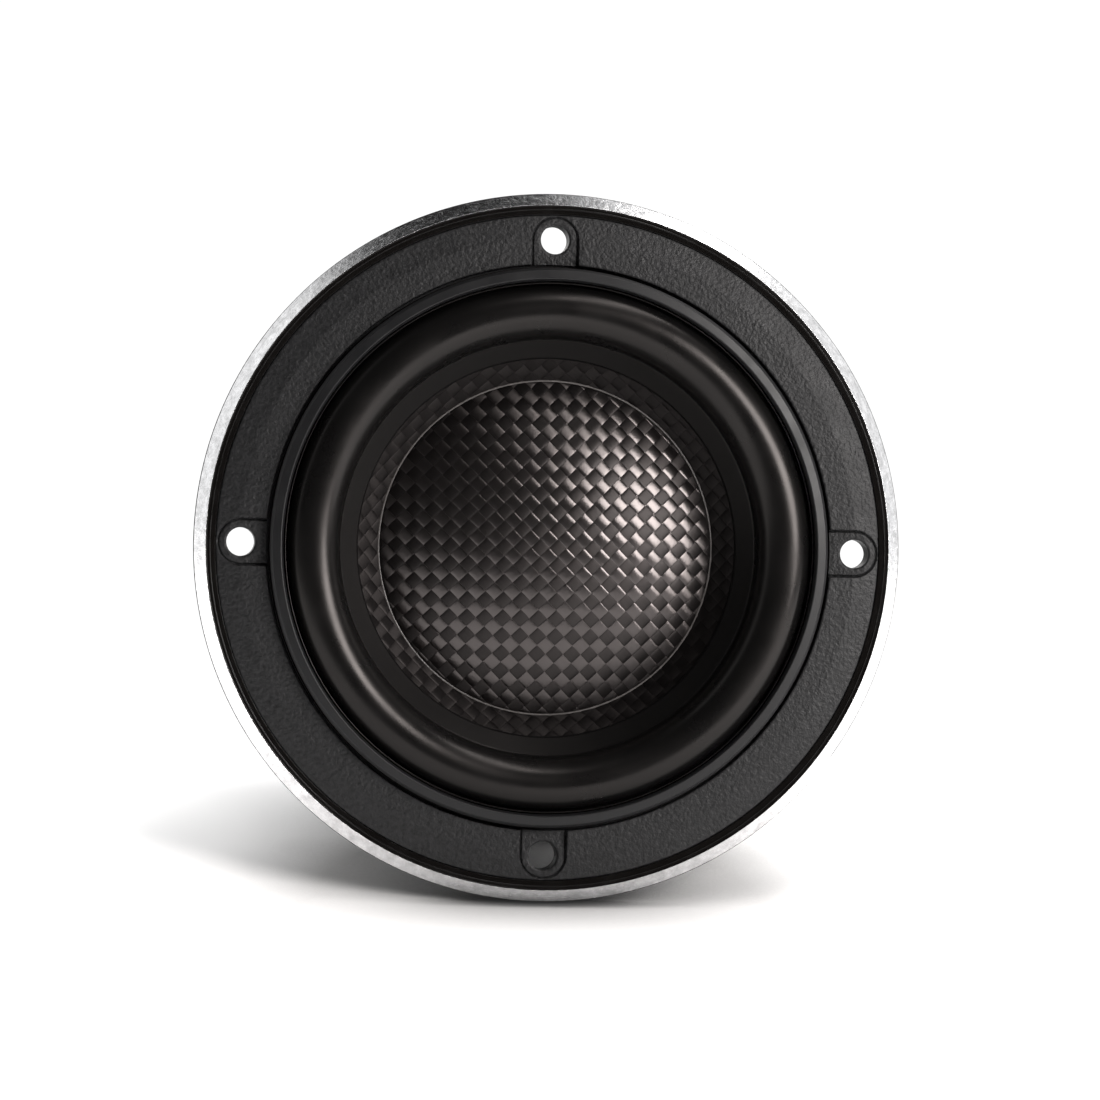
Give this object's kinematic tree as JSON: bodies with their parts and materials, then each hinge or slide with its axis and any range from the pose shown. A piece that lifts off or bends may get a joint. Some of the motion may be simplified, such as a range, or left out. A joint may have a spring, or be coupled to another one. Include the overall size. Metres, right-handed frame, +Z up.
{
  "type": "car subwoofer driver",
  "caption": "Round shallow car subwoofer driver: black cast basket with polished chamfer, textured front ring, rubber half-roll surround, woven carbon cone and dome, ferrite motor.",
  "frame": {"origin": "centre of the circle of mounting holes, on the rear face of the mounting gasket, where the driver meets its panel", "axes": "-Y along the driver's axis towards the listener, +Z up, +X to the right seen from the front"},
  "size_m": [0.114, 0.0661, 0.114],
  "materials": {
    "black_casting": "die-cast aluminium, black coat, polished chamfer",
    "textured_trim": "fine spark texture",
    "smooth_trim": "smooth satin",
    "gasket_foam": "matt closed-cell foam",
    "surround_rubber": "satin butyl rubber",
    "boot_rubber": "matt rubber",
    "spider_cloth": "resin-dipped woven cotton",
    "woven_carbon": "2 mm plain-weave carbon under a thin lacquer",
    "plated_steel": "zinc-plated steel",
    "dark_steel": "black oxide steel",
    "ferrite": "ground ferrite",
    "copper": "enamelled copper",
    "bare_aluminium": "turned",
    "coil_former": "amber polyimide",
    "kraft_paper": "brown kraft paper wrap",
    "terminal_laminate": "pressed fibre laminate",
    "tinned_brass": "tin-plated brass",
    "tinsel_braid": "braided tinned copper over cotton"
  },
  "bodies": {
    "frame": {"basket": "black_casting", "front_trim_ring": "textured_trim", "surround_clamp_ring": "smooth_trim", "mounting_gasket": "gasket_foam", "surround": "surround_rubber", "spider": "spider_cloth", "top_plate": "plated_steel", "magnet": "ferrite", "yoke": "plated_steel", "pole_cap": "copper", "shorting_ring": "bare_aluminium", "vent_screen": "dark_steel", "magnet_boot": "boot_rubber", "basket_screws": "dark_steel", "terminal_board": "terminal_laminate", "positive_terminal": "tinned_brass", "negative_terminal": "tinned_brass", "terminal_rivets": "tinned_brass", "terminal_screw": "dark_steel", "tinsel_lead_positive": "tinsel_braid", "tinsel_lead_negative": "tinsel_braid"},
    "cone_assembly": {"cone": "woven_carbon", "dust_cap": "woven_carbon", "voice_coil_former": "coil_former", "voice_coil_winding": "copper", "former_collar": "kraft_paper", "lead_pads": "tinned_brass"}
  },
  "joints": [
    {"name": "cone_travel", "type": "slide", "parent": "frame", "child": "cone_assembly", "axis": [0, -1, 0], "range_m": [-0.005, 0.005], "stiffness_N_per_m": 1800, "deforming": ["surround", "spider", "tinsel_lead_positive", "tinsel_lead_negative"]}
  ]
}
